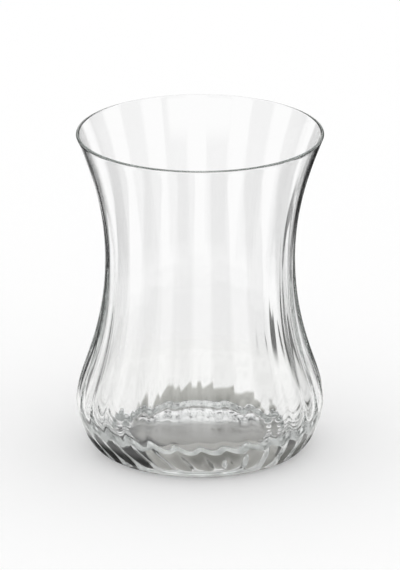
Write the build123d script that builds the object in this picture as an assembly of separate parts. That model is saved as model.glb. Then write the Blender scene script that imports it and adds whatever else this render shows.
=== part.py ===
from build123d import *
import math
import os

# A clear tea glass, blown in one piece: a flared lip, a slim waist, a round bulge low down and
# soft upright flutes on the inside, which fade out at the lip band and turn a little under the bulge.
# Lengths are in millimetres and angles in degrees. The origin is the middle of the foot and
# +Z runs up the glass. A ridge between two flutes faces -Y, the front.

# The smooth outside.
HEIGHT = 100.0
LIP_DIAMETER = 75.0
LIP_FLARE = 20.5
LIP_BAND = 5.0
WAIST_DIAMETER = 57.8
WAIST_HEIGHT = 59.9
BULGE_DIAMETER = 75.5
BULGE_HEIGHT = 15.5
FOOT_DIAMETER = 58.8

# How long the wall keeps each direction, as the handles of its curves.
LIP_PULL = 14.5
WAIST_PULL_UP = 10.5
WAIST_PULL_DOWN = 24.0
BULGE_PULL_UP = 8.2
BULGE_PULL_DOWN = 5.4
FOOT_PULL = 4.6

# The glass itself: thin at the lip, thicker towards the base.
LIP_THICKNESS = 1.0
WAIST_THICKNESS = 1.0
BULGE_THICKNESS = 2.8
FLOOR_THICKNESS = 3.3
FLAT_FLOOR_DIAMETER = 44.6
INNER_WAIST_PULL = 30.0
INNER_BULGE_PULL = 8.0
INNER_HEEL_FALL = 0.6
INNER_HEEL_REACH = 0.24

# The flutes: hollow towards the inside, meeting in ridges, deepest low on the inner heel.
FLUTE_COUNT = 28
WAIST_FLUTE_DEPTH = 0.05
BULGE_FLUTE_DEPTH = 0.2
HEEL_FLUTE_DEPTH = 1.0
HEEL_FLUTE_PLACE = 0.65
HEEL_FLUTE_TURN = 8.0

# The hollow under the base, inside the flat ring that the glass stands on.
FOOT_RING_WIDTH = 6.2
HOLLOW_DEPTH = 1.4

# Sections lofted along the inner neck, body and heel.
NECK_SECTIONS = 4
BODY_SECTIONS = 5
HEEL_SECTIONS = 8


def point(radius, height):
    """A point of the upright half plane that the wall is drawn in."""
    return Vector(radius, 0, height)


def ease(share):
    """Zero to one with a level start and a level end."""
    share = min(max(share, 0), 1)
    return share * share * (3 - 2 * share)


UP = point(0, 1)
OUT = point(1, 0)

# The lip is a half round between two straight flanks, the inner and the outer one.
flare = math.radians(LIP_FLARE)
lip_round = LIP_THICKNESS / 2
lip_middle = point(LIP_DIAMETER / 2 - lip_round, HEIGHT - lip_round)
lip_down = point(-math.sin(flare), -math.cos(flare))
lip_side = point(math.cos(flare), -math.sin(flare))
lip_outer = lip_middle + lip_side * lip_round
lip_inner = lip_middle - lip_side * lip_round
lip_top = lip_middle - lip_down * lip_round

# Below the lip band the flutes begin. Both flanks end at the same level.
band_outer = lip_outer + lip_down * LIP_BAND
band_inner = lip_inner + lip_down * ((lip_inner.Z - band_outer.Z) / math.cos(flare))

# The outside of the wall, drawn from the foot up to the lip band.
foot_middle = point(0, 0)
foot = point(FOOT_DIAMETER / 2, 0)
bulge = point(BULGE_DIAMETER / 2, BULGE_HEIGHT)
waist = point(WAIST_DIAMETER / 2, WAIST_HEIGHT)
axis_top = point(0, band_inner.Z - LIP_BAND)
outer_heel = Bezier(foot, foot + OUT * FOOT_PULL, bulge - UP * BULGE_PULL_DOWN, bulge)
outer_body = Bezier(bulge, bulge + UP * BULGE_PULL_UP, waist - UP * WAIST_PULL_DOWN, waist)
outer_neck = Bezier(waist, waist + UP * WAIST_PULL_UP, band_outer + lip_down * LIP_PULL, band_outer)

# The blank is solid up to the underside of the lip band, which stands on it as a thin ring. Its top dips
# towards the middle, so that it never lies in one plane with the level top of the inside cut from it.
blank_section = Face(
    Wire(
        [
            Line(foot_middle, foot),
            outer_heel,
            outer_body,
            outer_neck,
            Line(band_outer, lip_outer),
            ThreePointArc(lip_outer, lip_top, lip_inner),
            Line(lip_inner, band_inner),
            Line(band_inner, axis_top),
            Line(axis_top, foot_middle),
        ]
    )
)
blank = revolve(blank_section, Axis.Z)

# The inside follows the flutes' middles, from the lip band down to the flat floor.
inner_waist = waist - OUT * WAIST_THICKNESS
inner_bulge = point(BULGE_DIAMETER / 2 - BULGE_THICKNESS, BULGE_HEIGHT)
inner_floor = point(FLAT_FLOOR_DIAMETER / 2, FLOOR_THICKNESS)
heel_fall = UP * (inner_bulge.Z - inner_floor.Z) * INNER_HEEL_FALL
heel_reach = OUT * (inner_bulge.X - inner_floor.X) * INNER_HEEL_REACH
inner_neck = Bezier(
    band_inner, band_inner + lip_down * LIP_PULL, inner_waist + UP * WAIST_PULL_UP, inner_waist
)
inner_body = Bezier(
    inner_waist, inner_waist - UP * INNER_WAIST_PULL, inner_bulge + UP * INNER_BULGE_PULL, inner_bulge
)
inner_heel = Bezier(inner_bulge, inner_bulge - heel_fall, inner_floor + heel_reach, inner_floor)

# Each station has its curve, its place on it, the flutes' depth there and how far they have turned.
stations = []
for step in range(NECK_SECTIONS):
    share = step / NECK_SECTIONS
    stations.append((inner_neck, share, WAIST_FLUTE_DEPTH * ease(share), 0))
for step in range(BODY_SECTIONS):
    share = step / BODY_SECTIONS
    depth = WAIST_FLUTE_DEPTH + (BULGE_FLUTE_DEPTH - WAIST_FLUTE_DEPTH) * ease(share)
    stations.append((inner_body, share, depth, 0))
for step in range(HEEL_SECTIONS + 1):
    share = step / HEEL_SECTIONS
    growth = (HEEL_FLUTE_DEPTH - BULGE_FLUTE_DEPTH) * ease(share / HEEL_FLUTE_PLACE)
    rest = 1 - ease((share - HEEL_FLUTE_PLACE) / (1 - HEEL_FLUTE_PLACE))
    depth = (BULGE_FLUTE_DEPTH + growth) * rest
    stations.append((inner_heel, share, depth, HEEL_FLUTE_TURN * ease(share)))

# One flute is lofted through arcs, each from ridge to ridge.
half_flute = 180 / FLUTE_COUNT
arcs = []
for curve, share, depth, turned in stations:
    middle = curve @ share
    run = curve % share
    inward = Vector(run.Z, 0, -run.X)
    ridge = middle + inward * depth
    first = ridge.rotate(Axis.Z, turned - half_flute)
    last = ridge.rotate(Axis.Z, turned + half_flute)
    arcs.append(Wire([ThreePointArc(first, middle.rotate(Axis.Z, turned), last)]))
flute = Shell.make_loft(arcs).faces()[0]

# The flutes close into a solid with a level top, at the lip band, and a level bottom, the floor.
pitch = 360 / FLUTE_COUNT
first_turn = -90 + half_flute
flutes = [flute.rotate(Axis.Z, first_turn + pitch * number) for number in range(FLUTE_COUNT)]
top_rim = [face.edges().sort_by(Axis.Z)[-1] for face in flutes]
floor_rim = [face.edges().sort_by(Axis.Z)[0] for face in flutes]
top_face = Face(Wire(top_rim))
floor_face = Face(Wire(floor_rim))
inside = Solid(Shell(flutes + [top_face, floor_face]))

# The hollow under the base is a shallow dome.
hollow_edge = point(FOOT_DIAMETER / 2 - FOOT_RING_WIDTH, 0)
hollow_middle = point(0, HOLLOW_DEPTH)
hollow_dome = TangentArc(hollow_middle, hollow_edge, tangent=OUT)
hollow_section = Face(Wire([hollow_dome, Line(hollow_edge, foot_middle), Line(foot_middle, hollow_middle)]))
hollow = revolve(hollow_section, Axis.Z)

glass = blank - inside - hollow

os.makedirs("parts", exist_ok=True)
export_step(glass, "parts/chai_glass.step")
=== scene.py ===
import math

import bpy
import numpy as np
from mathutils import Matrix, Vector


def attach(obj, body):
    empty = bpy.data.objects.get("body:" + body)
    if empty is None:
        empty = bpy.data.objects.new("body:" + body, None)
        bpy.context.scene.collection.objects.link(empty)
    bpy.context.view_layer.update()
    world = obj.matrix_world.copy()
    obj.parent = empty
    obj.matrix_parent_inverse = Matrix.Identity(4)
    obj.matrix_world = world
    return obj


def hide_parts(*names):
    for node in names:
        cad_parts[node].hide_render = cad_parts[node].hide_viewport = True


# A clear tea glass on a pale studio floor. Lengths are in metres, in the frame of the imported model:
# origin under the foot, +Z up, front at -Y.
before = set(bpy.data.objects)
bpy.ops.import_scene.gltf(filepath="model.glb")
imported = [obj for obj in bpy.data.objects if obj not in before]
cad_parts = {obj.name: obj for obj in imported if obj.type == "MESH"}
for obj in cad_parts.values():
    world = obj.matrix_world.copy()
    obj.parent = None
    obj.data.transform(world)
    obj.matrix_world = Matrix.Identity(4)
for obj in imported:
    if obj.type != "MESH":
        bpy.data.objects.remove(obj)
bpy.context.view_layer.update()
MM = 0.001

# The wall's smooth outside, as the solid has it. A pair is a radius and a height.
HEIGHT = 100.0 * MM
LIP_RADIUS = 37.5 * MM
LIP_FLARE = math.radians(20.5)
LIP_BAND = 5.0 * MM
WAIST = (28.9 * MM, 59.9 * MM)
BULGE = (37.75 * MM, 15.5 * MM)
FOOT = (29.4 * MM, 0.0)
LIP_PULL = 14.5 * MM
WAIST_PULL_UP = 10.5 * MM
WAIST_PULL_DOWN = 24.0 * MM
BULGE_PULL_UP = 8.2 * MM
BULGE_PULL_DOWN = 5.4 * MM
FOOT_PULL = 4.6 * MM

# Wall thicknesses and the inside, which ends in a wide level floor.
LIP_THICKNESS = 1.0 * MM
WAIST_THICKNESS = 1.0 * MM
BULGE_THICKNESS = 2.8 * MM
FLOOR_THICKNESS = 3.3 * MM
FLAT_FLOOR_RADIUS = 22.3 * MM
INNER_WAIST_PULL = 30.0 * MM
INNER_BULGE_PULL = 8.0 * MM
BOWL_FALL = 0.6
BOWL_REACH = 0.24

# The ribs stand on the inside, as the soft ridges between shallow flutes.
RIB_COUNT = 28
WAIST_RIB_DEPTH = 0.05 * MM
BULGE_RIB_DEPTH = 0.2 * MM
BOWL_RIB_DEPTH = 1.0 * MM
FLUTE_SHARE = 0.75
BOWL_RIB_PLACE = 0.65
RIB_TWIST = math.radians(8)

# The hollow under the base, inside the flat ring that the glass stands on.
FOOT_RING_WIDTH = 6.2 * MM
HOLLOW_DEPTH = 1.4 * MM

# How finely the wall is meshed.
SEGMENTS_PER_RIB = 12
OUTER_RINGS = 34
INNER_RINGS = 46
LIP_RINGS = 12
BAND_RINGS = 6
FOOT_RINGS = 5
FLOOR_RINGS = 10

# The glass, and its faint unevenness from blowing.
GLASS_IOR = 1.5
GLASS_TINT = (0.62, 0.66, 0.64, 1.0)
GLASS_TINT_DENSITY = 8.0
WAVE_SCALE = 60.0
WAVE_DETAIL = 1.0
WAVE_STRENGTH = 1.0
WAVE_HEIGHT = 0.03 * MM

# The floor. It lies a hair under the foot, so that the two faces don't meet.
FLOOR_SIZE = 3.0
FLOOR_DROP = 0.02 * MM
WHITE = (1.0, 1.0, 1.0, 1.0)

# What the glass shows of the floor: an even, self-lit ground near the foot, with zones of painted shade and
# light.
# Painted shade: the shade behind the foot, the grey zone under it and the dark contact round its front half.
# Painted light: a pool of light, a disc at the front that is lighter towards its rim. An oval's edge is in
# shares of its size.
NEAR_RADIUS = 85.0 * MM
NEAR_EDGE = 10.0 * MM
NEAR_COLOUR = (0.96, 0.96, 0.95, 1.0)
SHADE_SIZE = (24.0 * MM, 26.0 * MM)
SHADE_MIDDLE = (1.0 * MM, 14.0 * MM, 0.0)
SHADE_EDGE = (0.93, 1.03)
SHADE_COLOUR = (0.62, 0.62, 0.58, 1.0)
UNDER_SHADE_SIZE = (26.0 * MM, 18.0 * MM)
UNDER_SHADE_MIDDLE = (5.0 * MM, -2.0 * MM, 0.0)
UNDER_SHADE_EDGE = (0.8, 1.1)
UNDER_SHADE_COLOUR = (0.52, 0.515, 0.48, 1.0)
CONTACT_SHADOW_COLOUR = (0.04, 0.04, 0.038, 1.0)
CONTACT_SHADOW_RADIUS = (36.0 * MM, 40.0 * MM)
CONTACT_SHADOW_BACK = (2.0 * MM, 9.0 * MM)
LIGHT_POOL_RADIUS = 24.0 * MM
LIGHT_POOL_MIDDLE = (7.0 * MM, -36.0 * MM, 0.0)
LIGHT_POOL_EDGE = 0.5 * MM
LIGHT_POOL_DEPTH = (8.0 * MM, 15.0 * MM)
LIGHT_POOL_COLOUR = (0.9, 0.895, 0.85, 1.0)

# The camera: a long lens that looks down at the glass, from a little to the right of its front.
CAMERA_DISTANCE = 2.6
CAMERA_ELEVATION = math.radians(19.29)
CAMERA_BEARING = math.radians(1.7)
CAMERA_LENS = 540.4
CAMERA_MIDDLE = 50.0 * MM
CAMERA_AIM = 51.1 * MM
CAMERA_REACH = 20.0

# The white panels round the stage, all alike. Bearings are in degrees, clockwise from straight ahead in the
# main view. A panel's sides are where its left fades in from dark to lit and its right fades out again.
PANEL_SPACING = 45
PANEL_SIDES = (-17, -12, 6, 8)
PANEL_LEVEL = 0.98
DARK_LEVEL = 0.02

# Light overhead, ahead and behind, and light low ahead for rays that pass beyond the near floor. A rise is
# the upward part of a direction of length one, and each pair is where a light's edge starts and ends.
OVERHEAD_RISE = (0.2, 0.35)
OVERHEAD_AHEAD = (20, 25)
OVERHEAD_BEHIND = (145, 150)
LOW_RISE = (-0.56, -0.5)
LOW_AHEAD = (40, 50)

# How often a ray may bounce or pass on. In the lip and the base it meets the wall many times.
GLASS_BOUNCES = 96
CLEAR_BOUNCES = 32


def bezier(points, count):
    """Points along a cubic, from its first control point up to but not including its last."""
    a, b, c, d = (np.array(p, float) for p in points)
    t = np.linspace(0, 1, count, endpoint=False)[:, None]
    return (1 - t) ** 3 * a + 3 * (1 - t) ** 2 * t * b + 3 * (1 - t) * t**2 * c + t**3 * d


def ease(share):
    """Zero to one with a level start and a level end."""
    return share * share * (3 - 2 * share)


def straight(first, last, count):
    """Points along a line, up to but not including its last."""
    share = np.linspace(0, 1, count, endpoint=False)[:, None]
    return np.array(first) * (1 - share) + np.array(last) * share


def hollow_dome(edge_radius):
    """The dome under the base, from next to its middle out to its edge."""
    dome_radius = (edge_radius**2 + HOLLOW_DEPTH**2) / (2 * HOLLOW_DEPTH)
    spread = np.linspace(0, 1, FLOOR_RINGS, endpoint=False)[1:] * edge_radius
    drop = dome_radius - np.sqrt(dome_radius**2 - spread**2)
    return np.stack([spread, HOLLOW_DEPTH - drop], axis=1)


def rib_depths():
    """How far the ribs stand out along the inner neck, body and heel, and how far they turn on the heel."""
    share = np.linspace(0, 1, INNER_RINGS, endpoint=False)
    neck = WAIST_RIB_DEPTH * ease(share)
    body = WAIST_RIB_DEPTH + (BULGE_RIB_DEPTH - WAIST_RIB_DEPTH) * ease(share)
    grow = ease(np.clip(share / BOWL_RIB_PLACE, 0, 1))
    fade = ease(np.clip((share - BOWL_RIB_PLACE) / (1 - BOWL_RIB_PLACE), 0, 1))
    heel = (BULGE_RIB_DEPTH + (BOWL_RIB_DEPTH - BULGE_RIB_DEPTH) * grow) * (1 - fade)
    return neck, body, heel, RIB_TWIST * ease(share)


def wall_profile():
    """Radius and height, rib depth and twist of each ring, from the hollow's middle round to the floor's."""
    up = np.array([0.0, 1.0])
    out = np.array([1.0, 0.0])
    down = np.array([-math.sin(LIP_FLARE), -math.cos(LIP_FLARE)])
    side = np.array([math.cos(LIP_FLARE), -math.sin(LIP_FLARE)])
    waist = np.array(WAIST)
    bulge = np.array(BULGE)
    foot = np.array(FOOT)

    # The lip is a half round between two straight flanks, which end at one level.
    lip_round = LIP_THICKNESS / 2
    lip_middle = np.array([LIP_RADIUS - lip_round, HEIGHT - lip_round])
    lip_outer = lip_middle + side * lip_round
    lip_inner = lip_middle - side * lip_round
    band_outer = lip_outer + down * LIP_BAND
    band_inner = lip_inner + down * ((lip_inner[1] - band_outer[1]) / math.cos(LIP_FLARE))
    turn = np.linspace(-LIP_FLARE, math.pi - LIP_FLARE, LIP_RINGS, endpoint=False)
    lip = lip_middle + lip_round * np.stack([np.cos(turn), np.sin(turn)], axis=1)

    # The outside, from the foot up to the lip band.
    hollow_edge = np.array([FOOT[0] - FOOT_RING_WIDTH, 0.0])
    heel = bezier([foot, foot + out * FOOT_PULL, bulge - up * BULGE_PULL_DOWN, bulge], OUTER_RINGS)
    body = bezier([bulge, bulge + up * BULGE_PULL_UP, waist - up * WAIST_PULL_DOWN, waist], OUTER_RINGS)
    neck = bezier([waist, waist + up * WAIST_PULL_UP, band_outer + down * LIP_PULL, band_outer], OUTER_RINGS)

    # The inside, from the lip band down to the level floor.
    inner_waist = waist - out * WAIST_THICKNESS
    inner_bulge = np.array([BULGE[0] - BULGE_THICKNESS, BULGE[1]])
    inner_floor = np.array([FLAT_FLOOR_RADIUS, FLOOR_THICKNESS])
    fall = up * (inner_bulge[1] - inner_floor[1]) * BOWL_FALL
    reach = out * (inner_bulge[0] - inner_floor[0]) * BOWL_REACH
    neck_pull = band_inner + down * LIP_PULL
    waist_pull_up = inner_waist + up * WAIST_PULL_UP
    waist_pull_down = inner_waist - up * INNER_WAIST_PULL
    bulge_pull = inner_bulge + up * INNER_BULGE_PULL
    inner_neck = bezier([band_inner, neck_pull, waist_pull_up, inner_waist], INNER_RINGS)
    inner_body = bezier([inner_waist, waist_pull_down, bulge_pull, inner_bulge], INNER_RINGS)
    inner_heel = bezier([inner_bulge, inner_bulge - fall, inner_floor + reach, inner_floor], INNER_RINGS)

    neck_depth, body_depth, heel_depth, heel_twist = rib_depths()
    parts = [
        (hollow_dome(hollow_edge[0]), 0.0, 0.0),
        (straight(hollow_edge, foot, FOOT_RINGS), 0.0, 0.0),
        (heel, 0.0, 0.0),
        (body, 0.0, 0.0),
        (neck, 0.0, 0.0),
        (straight(band_outer, lip_outer, BAND_RINGS), 0.0, 0.0),
        (lip, 0.0, 0.0),
        (straight(lip_inner, band_inner, BAND_RINGS), 0.0, 0.0),
        (inner_neck, neck_depth, 0.0),
        (inner_body, body_depth, 0.0),
        (inner_heel, heel_depth, heel_twist),
        (straight(inner_floor, [0.0, FLOOR_THICKNESS], FLOOR_RINGS), 0.0, RIB_TWIST),
    ]
    line = np.vstack([points for points, _, _ in parts])
    depth = np.concatenate([np.broadcast_to(d, len(points)) for points, d, _ in parts])
    twist = np.concatenate([np.broadcast_to(t, len(points)) for points, _, t in parts])
    return line, depth, twist


def rib_section():
    """Places across one flute, from -1 to 1, and how far each stands out of it, from 0 to 1."""
    place = -np.cos(np.pi * np.arange(SEGMENTS_PER_RIB) / SEGMENTS_PER_RIB)
    off = np.abs(place)
    flute = off**2 / FLUTE_SHARE
    ridge = 1 - (1 - off) ** 2 / (1 - FLUTE_SHARE)
    return place, np.where(off < FLUTE_SHARE, flute, ridge)


def ring_points(line, depth, twist):
    """Every ring's vertices, with the ribs standing out of the wall towards the inside."""
    run = np.gradient(line, axis=0)
    run /= np.linalg.norm(run, axis=1)[:, None]
    to_inside = np.stack([run[:, 1], -run[:, 0]], axis=1)
    place, stand = rib_section()
    half_rib = math.pi / RIB_COUNT
    middles = -math.pi / 2 + half_rib * (2 * np.arange(RIB_COUNT) + 1)
    angle = (middles[:, None] + half_rib * place[None, :]).ravel()
    lift = depth[:, None] * np.tile(stand, RIB_COUNT)[None, :]
    radius = line[:, :1] + to_inside[:, :1] * lift
    height = line[:, 1:] + to_inside[:, 1:] * lift
    turned = angle[None, :] + twist[:, None]
    return np.stack([radius * np.cos(turned), radius * np.sin(turned), height], axis=2)


def make_glass():
    """The glass as one closed mesh."""
    rings = ring_points(*wall_profile())
    ring_count, around, _ = rings.shape
    middles = [(0.0, 0.0, HOLLOW_DEPTH), (0.0, 0.0, FLOOR_THICKNESS)]
    vertices = middles + [tuple(point) for point in rings.reshape(-1, 3)]
    first = len(middles)

    def at(ring, place):
        return first + ring * around + place % around

    faces = []
    for place in range(around):
        faces.append((0, at(0, place + 1), at(0, place)))
        faces.append((1, at(ring_count - 1, place), at(ring_count - 1, place + 1)))
    for ring in range(ring_count - 1):
        for place in range(around):
            low = (at(ring, place), at(ring, place + 1))
            high = (at(ring + 1, place + 1), at(ring + 1, place))
            faces.append(low + high)
    mesh = bpy.data.meshes.new("chai_glass_wall")
    mesh.from_pydata(vertices, [], faces)
    mesh.validate()
    mesh.shade_smooth()
    wall = bpy.data.objects.new("chai_glass_wall", mesh)
    bpy.context.scene.collection.objects.link(wall)
    return wall


def node(tree, kind, **sockets):
    """A new node with some of its sockets set."""
    made = tree.nodes.new(kind)
    for name, value in sockets.items():
        made.inputs[name].default_value = value
    return made


def sums(tree, operation, first, second=None):
    """A Math node on sockets or plain numbers. Returns its result."""
    made = tree.nodes.new("ShaderNodeMath")
    made.operation = operation
    for place, value in enumerate((first, second)):
        if value is None:
            continue
        if isinstance(value, (int, float)):
            made.inputs[place].default_value = value
        else:
            tree.links.new(value, made.inputs[place])
    return made.outputs[0]


def smooth_step(tree, value, low, high, first=0.0, last=1.0):
    """A soft step of a value, from first below low to last above high."""
    made = tree.nodes.new("ShaderNodeMapRange")
    made.interpolation_type = "SMOOTHSTEP"
    tree.links.new(value, made.inputs["Value"])
    made.inputs["From Min"].default_value = low
    made.inputs["From Max"].default_value = high
    made.inputs["To Min"].default_value = first
    made.inputs["To Max"].default_value = last
    return made.outputs["Result"]


def see_through(tree, path):
    """One for rays that come through or off the glass, and nothing for the rest."""
    return sums(tree, "MAXIMUM", path.outputs["Is Transmission Ray"], path.outputs["Is Glossy Ray"])


def mix_shaders(tree, share, first, second):
    """The first shader where the share is nothing, and the second where it is one."""
    mixed = tree.nodes.new("ShaderNodeMixShader")
    tree.links.new(share, mixed.inputs[0])
    tree.links.new(first.outputs[0], mixed.inputs[1])
    tree.links.new(second.outputs[0], mixed.inputs[2])
    return mixed


def matte(tree, colour):
    """A plain diffuse shader."""
    return node(tree, "ShaderNodeBsdfDiffuse", Color=colour)


def distance_from(tree, middle, stretch=(1.0, 1.0, 1.0)):
    """How far a point lies from a middle, with its axes stretched first."""
    place = tree.nodes.new("ShaderNodeNewGeometry")
    off = tree.nodes.new("ShaderNodeVectorMath")
    off.operation = "SUBTRACT"
    off.inputs[1].default_value = middle
    tree.links.new(place.outputs["Position"], off.inputs[0])
    stretched = tree.nodes.new("ShaderNodeVectorMath")
    stretched.operation = "MULTIPLY"
    stretched.inputs[1].default_value = stretch
    tree.links.new(off.outputs["Vector"], stretched.inputs[0])
    length = tree.nodes.new("ShaderNodeVectorMath")
    length.operation = "LENGTH"
    tree.links.new(stretched.outputs["Vector"], length.inputs[0])
    return length.outputs["Value"]


def outside_oval(tree, middle, size, edge):
    """Nothing inside an oval of the floor and one outside it, with a soft edge."""
    from_middle = distance_from(tree, middle, (1 / size[0], 1 / size[1], 1.0))
    return smooth_step(tree, from_middle, *edge)


def glass_material():
    """Clear glass with a faint tint in its depth and a faint unevenness on its surface."""
    material = bpy.data.materials.new("clear_glass")
    material.use_nodes = True
    tree = material.node_tree
    shader = tree.nodes["Principled BSDF"]
    shader.inputs["Base Color"].default_value = WHITE
    shader.inputs["Transmission Weight"].default_value = 1.0
    shader.inputs["IOR"].default_value = GLASS_IOR
    shader.inputs["Roughness"].default_value = 0.0
    place = tree.nodes.new("ShaderNodeTexCoord")
    waves = node(tree, "ShaderNodeTexNoise", Scale=WAVE_SCALE, Detail=WAVE_DETAIL)
    uneven = node(tree, "ShaderNodeBump", Strength=WAVE_STRENGTH, Distance=WAVE_HEIGHT)
    tree.links.new(place.outputs["Object"], waves.inputs["Vector"])
    tree.links.new(waves.outputs["Fac"], uneven.inputs["Height"])
    tree.links.new(uneven.outputs["Normal"], shader.inputs["Normal"])
    tint = node(tree, "ShaderNodeVolumeAbsorption", Color=GLASS_TINT, Density=GLASS_TINT_DENSITY)
    tree.links.new(tint.outputs["Volume"], tree.nodes["Material Output"].inputs["Volume"])
    return material


def floor_through_glass(tree):
    """The floor as the glass shows it: zones of painted shade and light on an even pale ground, and nothing
    far from the foot.
    """
    from_foot = distance_from(tree, (0.0, 0.0, 0.0))
    ground = node(tree, "ShaderNodeEmission", Color=NEAR_COLOUR)
    under_shade = matte(tree, UNDER_SHADE_COLOUR)

    # Painted shade: an oval behind the foot stands for the glass's shadow on the floor.
    off_shade = outside_oval(tree, SHADE_MIDDLE, SHADE_SIZE, SHADE_EDGE)
    behind = mix_shaders(tree, off_shade, matte(tree, SHADE_COLOUR), ground)
    # Painted shadow: a near-black contact shadow round the front half of the foot, where glass and floor
    # meet.
    place = tree.nodes.new("ShaderNodeNewGeometry")
    split = tree.nodes.new("ShaderNodeSeparateXYZ")
    tree.links.new(place.outputs["Position"], split.inputs[0])
    before = smooth_step(tree, split.outputs["Y"], *CONTACT_SHADOW_BACK, 1.0, 0.0)
    close = smooth_step(tree, from_foot, *CONTACT_SHADOW_RADIUS, 1.0, 0.0)
    contact_shadow = sums(tree, "MULTIPLY", before, close)
    around = mix_shaders(tree, contact_shadow, behind, matte(tree, CONTACT_SHADOW_COLOUR))

    # Painted shade: a grey oval under the base stands for the glass's shadow on the floor beneath it.
    off_under_shade = outside_oval(tree, UNDER_SHADE_MIDDLE, UNDER_SHADE_SIZE, UNDER_SHADE_EDGE)
    below = mix_shaders(tree, off_under_shade, under_shade, around)
    # Painted light: a disc at the front, a pool of light on the floor, with the painted shade under the base
    # in its middle and lighter towards its rim.
    from_light_pool = distance_from(tree, LIGHT_POOL_MIDDLE)
    off_light_pool = smooth_step(tree, from_light_pool, LIGHT_POOL_RADIUS - LIGHT_POOL_EDGE, LIGHT_POOL_RADIUS + LIGHT_POOL_EDGE)
    least, most = LIGHT_POOL_DEPTH
    light_pool_rim = smooth_step(tree, from_light_pool, LIGHT_POOL_RADIUS - most, LIGHT_POOL_RADIUS - least)
    light_pool = mix_shaders(tree, light_pool_rim, under_shade, matte(tree, LIGHT_POOL_COLOUR))
    near = mix_shaders(tree, off_light_pool, light_pool, below)

    far = smooth_step(tree, from_foot, NEAR_RADIUS - NEAR_EDGE, NEAR_RADIUS + NEAR_EDGE)
    return mix_shaders(tree, far, near, tree.nodes.new("ShaderNodeBsdfTransparent"))


def make_floor():
    """A plain pale floor, apart from what the glass shows of it."""
    half = FLOOR_SIZE / 2
    corners = [(-half, -half, 0), (half, -half, 0), (half, half, 0), (-half, half, 0)]
    mesh = bpy.data.meshes.new("floor")
    mesh.from_pydata(corners, [], [(0, 1, 2, 3)])
    floor = bpy.data.objects.new("floor", mesh)
    bpy.context.scene.collection.objects.link(floor)
    floor.location.z = -FLOOR_DROP
    material = bpy.data.materials.new("floor")
    material.use_nodes = True
    material.cycles.emission_sampling = "NONE"
    tree = material.node_tree
    tree.nodes.remove(tree.nodes["Principled BSDF"])
    through = see_through(tree, tree.nodes.new("ShaderNodeLightPath"))
    both = mix_shaders(tree, through, matte(tree, WHITE), floor_through_glass(tree))
    tree.links.new(both.outputs[0], tree.nodes["Material Output"].inputs["Surface"])
    mesh.materials.append(material)


def ahead_of(tree, aside, edges):
    """One for bearings within the edges, on either side of straight ahead."""
    return smooth_step(tree, aside, *map(math.radians, edges), 1.0, 0.0)


def room_through_glass(tree):
    """How bright the room is in each direction, as the glass shows it."""
    where = tree.nodes.new("ShaderNodeTexCoord")
    split = tree.nodes.new("ShaderNodeSeparateXYZ")
    tree.links.new(where.outputs["Generated"], split.inputs[0])
    rise = split.outputs["Z"]
    bearing = sums(tree, "ARCTAN2", split.outputs["X"], split.outputs["Y"])
    bearing = sums(tree, "ADD", bearing, CAMERA_BEARING)
    aside = sums(tree, "ABSOLUTE", bearing)

    over = smooth_step(tree, rise, *OVERHEAD_RISE)
    behind = smooth_step(tree, aside, *map(math.radians, OVERHEAD_BEHIND))
    ahead_or_behind = sums(tree, "MAXIMUM", ahead_of(tree, aside, OVERHEAD_AHEAD), behind)
    overhead = sums(tree, "MULTIPLY", over, ahead_or_behind)
    low = smooth_step(tree, rise, *LOW_RISE, 1.0, 0.0)
    low_ahead = sums(tree, "MULTIPLY", low, ahead_of(tree, aside, LOW_AHEAD))
    lit = sums(tree, "MAXIMUM", overhead, low_ahead)

    # The panel straight behind is made twice, for the two ends of the bearings' range.
    for turn in range(-180, 181, PANEL_SPACING):
        dark_left, lit_left, lit_right, dark_right = (math.radians(turn + side) for side in PANEL_SIDES)
        left = smooth_step(tree, bearing, dark_left, lit_left)
        right = smooth_step(tree, bearing, lit_right, dark_right, 1.0, 0.0)
        lit = sums(tree, "MAXIMUM", lit, sums(tree, "MULTIPLY", left, right))
    return sums(tree, "MULTIPLY", lit, PANEL_LEVEL)


def make_world():
    """Even white light. Through the glass the camera sees lit panels with dark gaps between them."""
    world = bpy.data.worlds.new("studio")
    bpy.context.scene.world = world
    world.use_nodes = True
    tree = world.node_tree
    path = tree.nodes.new("ShaderNodeLightPath")
    through = see_through(tree, path)

    # A ray that lights the floor through the glass has bounced off it before, and finds plain white too.
    bounced = sums(tree, "GREATER_THAN", path.outputs["Diffuse Depth"], 0.5)
    least = sums(tree, "MAXIMUM", bounced, DARK_LEVEL)
    room = sums(tree, "MAXIMUM", room_through_glass(tree), least)
    seen = sums(tree, "MULTIPLY", room, through)
    plain = sums(tree, "SUBTRACT", 1.0, through)
    background = tree.nodes["Background"]
    background.inputs["Color"].default_value = WHITE
    tree.links.new(sums(tree, "ADD", seen, plain), background.inputs["Strength"])


def make_camera():
    """The camera of the main view."""
    data = bpy.data.cameras.new("camera")
    data.lens = CAMERA_LENS
    data.clip_end = CAMERA_REACH
    camera = bpy.data.objects.new("camera", data)
    bpy.context.scene.collection.objects.link(camera)
    back = CAMERA_DISTANCE * math.cos(CAMERA_ELEVATION)
    height = CAMERA_MIDDLE + CAMERA_DISTANCE * math.sin(CAMERA_ELEVATION)
    camera.location = (back * math.sin(CAMERA_BEARING), -back * math.cos(CAMERA_BEARING), height)
    towards = Vector((0.0, 0.0, CAMERA_AIM)) - camera.location
    camera.rotation_euler = towards.to_track_quat("-Z", "Y").to_euler()
    bpy.context.scene.camera = camera


glass = make_glass()
glass.data.materials.append(glass_material())
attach(glass, "root")
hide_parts("chai_glass")
make_floor()
make_world()
make_camera()

scene = bpy.context.scene
scene.view_settings.view_transform = "Standard"
scene.cycles.max_bounces = GLASS_BOUNCES
scene.cycles.transmission_bounces = GLASS_BOUNCES
scene.cycles.glossy_bounces = GLASS_BOUNCES
scene.cycles.transparent_max_bounces = CLEAR_BOUNCES
